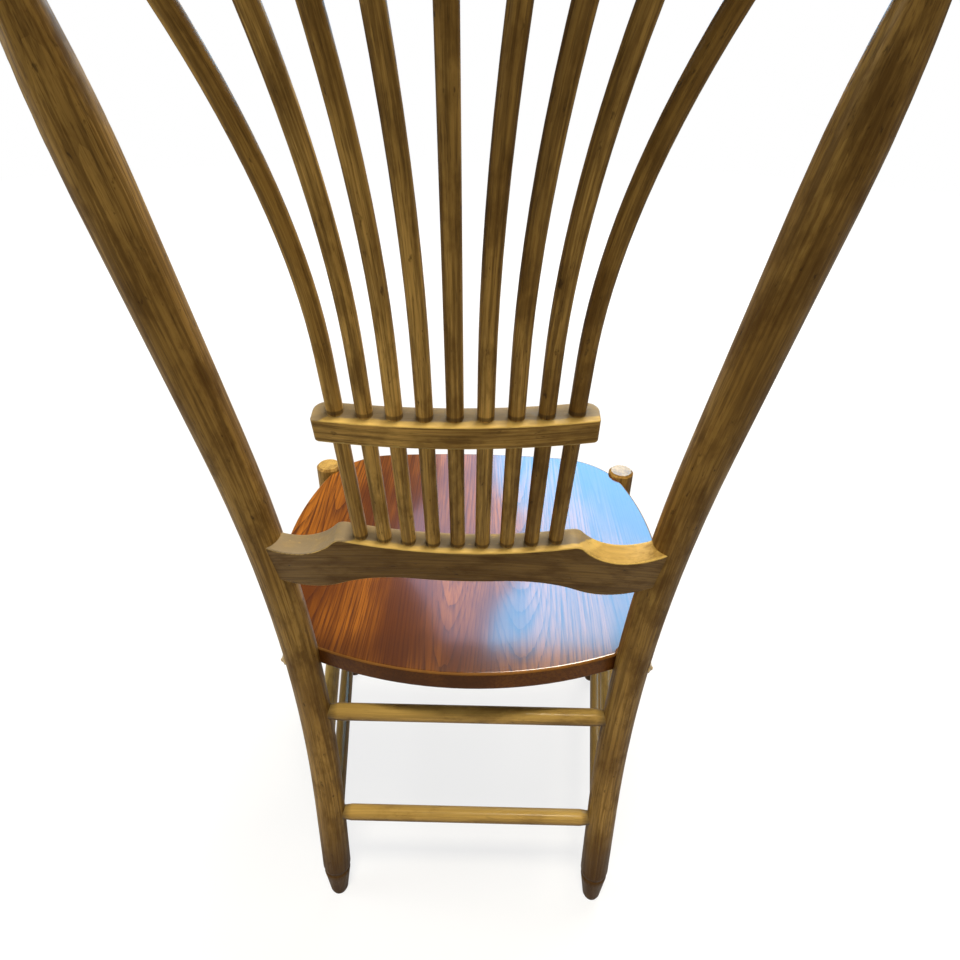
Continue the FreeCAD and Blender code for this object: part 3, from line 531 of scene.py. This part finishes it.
# %% Dress the rails
BACK_LEAN = radians(12.4)
SPINDLE_RADIUS = 0.00585
NOOK_WIDE = 0.0042
EDGE_TURN = 0.22
SLOPE_RISE = 0.45
RAIL_HALF_DEPTH = 0.0105
SCOOP_START = 0.092
SCOOP_RUN = 0.03
SCOOP_SHIFT = 3.0
stains = {"crest_rail": 0.4, "lower_back_rail": 1.1, "tie_bar": 0.15}
leaned_up = np.array((0, sin(BACK_LEAN), cos(BACK_LEAN)))
leaned_out = np.array((0, cos(BACK_LEAN), -sin(BACK_LEAN)))
rails = {}
for blank, (name, stain) in enumerate(stains.items(), start=31):
    rail = smooth_copy(name)
    lay_grain(rail, "x", 2, blank, stain)
    normals = face_normals(rail)
    turning = np.minimum(abs(normals @ leaned_up), abs(normals @ leaned_out))
    # Rubbed edges: real wear with a painted highlight laid over it.
    rubbed = mark_faces(rail, "rubbed", turning > EDGE_TURN)
    spots = corners(rail)
    nearest = np.min([away_from(spots, line) for line in spindle_lines], axis=0)
    # Painted shade: the rail darkens near each spindle's foot, besides the glaze gathered there.
    mark_corners(rail, "nook", np.clip(1 - (nearest - SPINDLE_RADIUS) / NOOK_WIDE, 0, 1))
    bow = np.polyfit(spots[:, 0], spots @ leaned_out, 2)
    backward = (spots @ leaned_out - np.polyval(bow, spots[:, 0])) / RAIL_HALF_DEPTH
    in_scoop = np.clip((abs(spots[:, 0]) - SCOOP_START) / SCOOP_RUN, 0, 1)
    # Painted light: the shift gives one scoop a painted grey sheen and the other a painted golden highlight.
    mark_corners(rail, "backward", backward - np.sign(spots[:, 0]) * in_scoop * SCOOP_SHIFT)
    # Upper faces carry the painted golden highlight and the painted grey sheen.
    mark_faces(rail, "upper", (normals @ leaned_up > SLOPE_RISE) & (name != "crest_rail"))
    frame_pieces.append(rail)
    rails[name] = rail
    print(rail.name, rubbed, "edge faces, nearest spindle", round(float(nearest.min()), 4))

# %% [markdown]
# ## Dark rims round the spindles
# Where a spindle goes into a rail, glaze and wax make a dark ring on the spindle too. A ring could be
# painted at a fixed height, but the bar is out of level and the rails are bowed. So each corner of a
# spindle stores its height above each of its three rims, and the rims are read from the rails' own
# corners. One metre is added, so that a piece without the mark reads as far from any rim.

# %% Mark where the spindles go in
RIM_REACH = 0.0075
for spindle, line in zip(spindles, spindle_lines):
    rims = []
    for name, pick in (("lower_back_rail", max), ("tie_bar", min), ("tie_bar", max)):
        spots = corners(rails[name])
        rims.append(pick(spots[away_from(spots, line) < RIM_REACH, 2]))
    mark_corner_vectors(spindle, "joined", 1 + corners(spindle)[:, 2:3] - np.array(rims))
    print(spindle.name, "rims at", [round(float(rim), 3) for rim in rims])

# %% [markdown]
# ## The frame's grain
# The frame is a pale, open-pored wood. Year rings make its long lines, and noise stretched along the blank
# makes streaks and pores. Slower noise makes the blotches and specks that the glaze leaves. A wave texture
# would be simpler, but its lines are too even for split wood.

# %% Draw the frame's grain
frame_wood, net = start_finish("frame_wood")


def stored(net, name, output="Fac"):
    return net.node("ShaderNodeAttribute", {"attribute_name": name}, None, output)


grain = stored(net, "grain", "Vector")
sway = grain.noise((14, 14, 2.2), 3)
ring = ((grain.split()[0] + sway * 0.014) * 290) % 1
early = (1 - ring) ** 2.2
streak = grain.noise((330, 330, 9), 4, 0.66).between(0.4, 0.62)
pores = grain.noise((1400, 1400, 60), 2).between(0.58, 0.68)
blotch = grain.noise((52, 52, 22), 5, 0.64).between(0.44, 0.66)
specks = grain.noise((210, 210, 90), 3, 0.6).between(0.64, 0.74)
tone = grain.noise((11, 11, 6), 3)
print("frame grain drawn")

# %% [markdown]
# ## Glaze, wear and painted light
# A brown glaze was brushed over the frame and wiped off: it stays dark in the pores and hollows and thins to
# gold where hands rub. Each layer is blended over the one before: wood, glaze with the spindles' painted
# shade, wear with painted golden highlights, a painted grey sheen, dark rims with painted shade round the
# spindles' feet, and a darkening towards the floor. One mixed brown would be simpler, but then the edges and
# the scooped ends of the rail would look new.

# %% Colour the frame
DEEP_GOLD = (0.36, 0.2, 0.043, 1)
PALE_GOLD = (0.66, 0.395, 0.1, 1)
STREAK_BROWN = (0.135, 0.07, 0.017, 1)
RING_BROWN = (0.1, 0.05, 0.011, 1)
GLAZE_AND_SHADE_BROWN = (0.08, 0.035, 0.006, 1)
PORE_BROWN = (0.036, 0.02, 0.007, 1)
SPECK_BROWN = (0.026, 0.015, 0.006, 1)
WORN_AND_LIT_GOLD = (0.56, 0.37, 0.1, 1)
PAINTED_SHEEN_GREY = (0.19, 0.145, 0.09, 1)
RIM_BROWN = (0.045, 0.031, 0.017, 1)
LOW_BROWN = (0.05, 0.02, 0.005, 1)
RIM_CORE = 0.0000002
RIM_FADE = 0.000005

gold = tone.between(0.34, 0.66).blend(DEEP_GOLD, PALE_GOLD)
streaked = (streak * 0.7).blend(gold, STREAK_BROWN)
ringed = (early * 0.35).blend(streaked, RING_BROWN)
# The glaze number carries the spindles' painted shade too.
stain = stored(net, "stain")
glaze_and_shade = stain * 0.6 + blotch * (0.55 - stain * 0.3)
glazed_and_shaded = glaze_and_shade.blend(ringed, GLAZE_AND_SHADE_BROWN)
pored = (pores * 0.4).blend(glazed_and_shaded, PORE_BROWN)
spotted = (specks * 0.65).blend(pored, SPECK_BROWN)
backward = stored(net, "backward") + (blotch - 0.5) * 0.2
upper = stored(net, "upper")
# Painted highlight: the rear strip of the rails' upper faces is painted paler gold, over the edges' wear.
wear_and_highlight = stored(net, "rubbed") + upper * (1.15 - backward.between(1.2, 1.8) * 0.55)
worn_and_lit = (wear_and_highlight * (1 - blotch * 0.42 - streak * 0.15)).blend(spotted, WORN_AND_LIT_GOLD)
# Painted grey sheen on the fore part of the rails' upper faces and on one scoop.
far_sheen = upper * (1 - backward.between(0.36, 0.56)) * (0.95 - blotch * 0.25 - specks * 0.4)
sheened = far_sheen.blend(worn_and_lit, PAINTED_SHEEN_GREY)
# Dark rims: glaze in the joints, and on the rails painted shade round the spindles' feet.
rims = stored(net, "nook")
for height in stored(net, "joined", "Vector").split():
    rims = rims + (1 - ((height - 1) ** 2).between(RIM_CORE, RIM_FADE))
rimmed_and_shaded = (rims * 0.66).blend(sheened, RIM_BROWN)
height = net.node("ShaderNodeTexCoord", None, None, "Object").split()[2]
# Darker towards the floor.
darker_low = 0.85 - (height + blotch * 0.03).between(0.06, 0.2) * 0.85
darkened_low = darker_low.blend(rimmed_and_shaded, LOW_BROWN)
print("frame coloured")

# %% [markdown]
# ## The frame's sheen
# Old glazed wood has a dull, warm sheen, and wax shines on the leg tops and the rungs. One roughness for all
# would be simpler, but the blotches of glaze are duller than the rubbed wood. The pores and rings
# are also felt as small bumps.

# %% Wax the frame
dullness = 0.36 + blotch * 0.14 + streak * 0.06
surface_height = 0.6 * ring - 0.8 * pores - 0.6 * specks + 0.5 * blotch
bump = net.node("ShaderNodeBump", None, {"Strength": 0.3, "Distance": 0.0004, "Height": surface_height})
satin = {"Base Color": darkened_low, "Roughness": dullness, "Normal": bump}
satin |= {"Specular IOR Level": 0.16, "Specular Tint": (1, 0.84, 0.58, 1)}
wax = {"Coat Weight": stored(net, "polished") * 0.7, "Coat Roughness": 0.2}
close_finish(net, net.node("ShaderNodeBsdfPrincipled", None, satin | wax))
for piece in frame_pieces:
    paint(piece, frame_wood)
print("frame finish on", len(frame_pieces), "pieces")

# %% [markdown]
# ## The seat
# The seat is a glued-up plank of red-brown wood with its grain from front to rear. Its top is varnished and
# its rounded edge is worn and painted paler as a highlight, so the faces are told apart by how far they turn
# upwards.

# %% Copy the seat
EDGE_RISE = 0.25
FLAT_RISE = 0.93
seat = smooth_copy("seat")
rise = face_normals(seat)[:, 2]
# The rounded edge faces get wear and a painted highlight.
mark_faces(seat, "rubbed", (rise > EDGE_RISE) & (rise < FLAT_RISE))
topmost = mark_faces(seat, "polished", rise > FLAT_RISE)
print("seat with", len(rise), "faces,", topmost, "on its top")

# %% [markdown]
# ## Year rings in the seat
# Sawn flat, the year rings meet the seat's face in long arches. The arches could be drawn one by one, but
# each is a cut through the log's rings. So the finish works out, for every board, the distance from the
# log's heart, with the heart sinking away along the board, and the rings follow from that distance.

# %% Cut the seat's boards from the log
BOARD_WIDE = 0.122
BOARD_SHIFT = 0.03
SEAT_HEIGHT = 0.44
seat_wood, net = start_finish("seat_wood")
place = net.node("ShaderNodeTexCoord", None, None, "Object")
x, y, z = place.split()
board_place = (x + BOARD_SHIFT) * (1 / BOARD_WIDE)
in_board = board_place % 1
board = board_place - in_board
chance = net.node("ShaderNodeTexWhiteNoise", {"noise_dimensions": "1D"}, {"W": board}, "Color").split()
sway = place.noise((5, 1.4, 5), 2, 0.5)
ripple = place.noise((95, 10, 95), 3, 0.6)
heart_aside = (in_board - 0.5 + (chance[0] - 0.5) * 0.8) * BOARD_WIDE + (sway - 0.5) * 0.05
heart_below = (y + 0.4 + chance[1] * 0.2) * (chance[2] * 0.06 + 0.025) + (z - SEAT_HEIGHT) * 0.5
from_heart = (heart_aside * heart_aside + heart_below * heart_below) ** 0.5 + (ripple - 0.5) * 0.0026
uneven_sockets = {"W": from_heart, "Scale": 90, "Detail": 1}
uneven = net.node("ShaderNodeTexNoise", {"noise_dimensions": "1D"}, uneven_sockets)
ring = (from_heart * 300 + uneven * 2.6) % 1
early = (1 - ring) ** 3
print("seat boards cut")

# %% [markdown]
# ## The seat's stain and varnish
# A red-brown stain sinks into the early wood of each ring and into the pores. The edge and the underside are
# darker, and the rounded edge carries a painted highlight. The top has a thick gloss varnish. Shine could be
# painted on, but then it would stay in place when the viewer moves, so a clear coat mirrors the lamps
# instead.

# %% Varnish the seat
DARK_AMBER = (0.082, 0.021, 0.003, 1)
LIGHT_AMBER = (0.275, 0.09, 0.009, 1)
SEAT_STREAK = (0.072, 0.018, 0.003, 1)
SEAT_RING = (0.042, 0.009, 0.002, 1)
SEAT_PORE = (0.04, 0.011, 0.004, 1)
EDGE_BROWN = (0.05, 0.018, 0.004, 1)
WORN_AND_LIT_EDGE = (0.42, 0.2, 0.05, 1)

polished = stored(net, "polished")
pores = place.noise((1100, 26, 1100), 2).between(0.5, 0.62)
streak = place.noise((330, 5, 330), 4, 0.62)
tone = place.noise((10, 4, 10), 3)
board_tone = chance[2] * 0.12 + tone * 0.88
amber = board_tone.between(0.38, 0.62).blend(DARK_AMBER, LIGHT_AMBER)
streaked = (streak.between(0.42, 0.62) * 0.6).blend(amber, SEAT_STREAK)
line = early * (0.4 + streak.between(0.34, 0.6) * 0.6) * (0.3 + polished * 0.7)
ringed = line.blend(streaked, SEAT_RING)
pored = (pores * (0.2 + early * 0.6)).blend(ringed, SEAT_PORE)
# Darker on the edge and the underside.
darker_edge = ((1 - polished) * 0.5).blend(pored, EDGE_BROWN)
# Painted highlight along the rounded edge, over its wear.
worn_and_lit = (stored(net, "rubbed") * 0.35).blend(darker_edge, WORN_AND_LIT_EDGE)
dullness = 0.3 + early * 0.1
seat_relief = {"Strength": 0.08, "Distance": 0.0003, "Height": ring - pores * early}
bump = net.node("ShaderNodeBump", None, seat_relief)
varnish = {"Base Color": worn_and_lit, "Roughness": dullness, "Normal": bump}
varnish |= {"Specular IOR Level": 0.25, "Specular Tint": (1, 0.6, 0.3, 1)}
clear_coat = {"Coat Weight": polished, "Coat Roughness": 0.12, "Coat IOR": 1.85}
close_finish(net, net.node("ShaderNodeBsdfPrincipled", None, varnish | clear_coat))
paint(seat, seat_wood)
print("seat finish done")

# %% [markdown]
# ## Plugs
# Turned buttons of paler wood cover the screws that hold the seat to the posts and legs. They are small, so a
# streak and a few pores under a thin varnish are enough.

# %% Dress the plugs
LIGHT_HONEY = (0.5, 0.36, 0.16, 1)
DARK_HONEY = (0.36, 0.23, 0.08, 1)
PLUG_PORE = (0.12, 0.07, 0.03, 1)
plugs = smooth_copy("button_plugs")
plug_wood, net = start_finish("plug_wood")
place = net.node("ShaderNodeTexCoord", None, None, "Object")
streak = place.noise((500, 900, 60), 3, 0.6).between(0.35, 0.7)
pores = place.noise((1800, 1800, 160), 2).between(0.58, 0.7)
honey = streak.blend(LIGHT_HONEY, DARK_HONEY)
pored = (pores * 0.5).blend(honey, PLUG_PORE)
varnish = {"Base Color": pored, "Roughness": 0.25 + streak * 0.15}
varnish |= {"Coat Weight": 0.6, "Coat Roughness": 0.1}
close_finish(net, net.node("ShaderNodeBsdfPrincipled", None, varnish))
paint(plugs, plug_wood)
print("plugs dressed")

# %% [markdown]
# ## Screws
# The screws lie at the bottom of their holes, under the plugs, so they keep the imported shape. They get a
# plain bright steel with the marks of turning.

# %% Dress the screws
DARK_STEEL = (0.42, 0.43, 0.44, 1)
BRIGHT_STEEL = (0.6, 0.6, 0.61, 1)
screw_steel, net = start_finish("screw_steel")
place = net.node("ShaderNodeTexCoord", None, None, "Object")
turning = place.noise((900, 3000, 3000), 2)
steel_tone = turning.blend(DARK_STEEL, BRIGHT_STEEL)
steel = {"Base Color": steel_tone, "Roughness": 0.3 + turning * 0.2, "Metallic": 1.0}
close_finish(net, net.node("ShaderNodeBsdfPrincipled", None, steel))
paint(nodes["seat_screws"], screw_steel)
print("screws dressed")
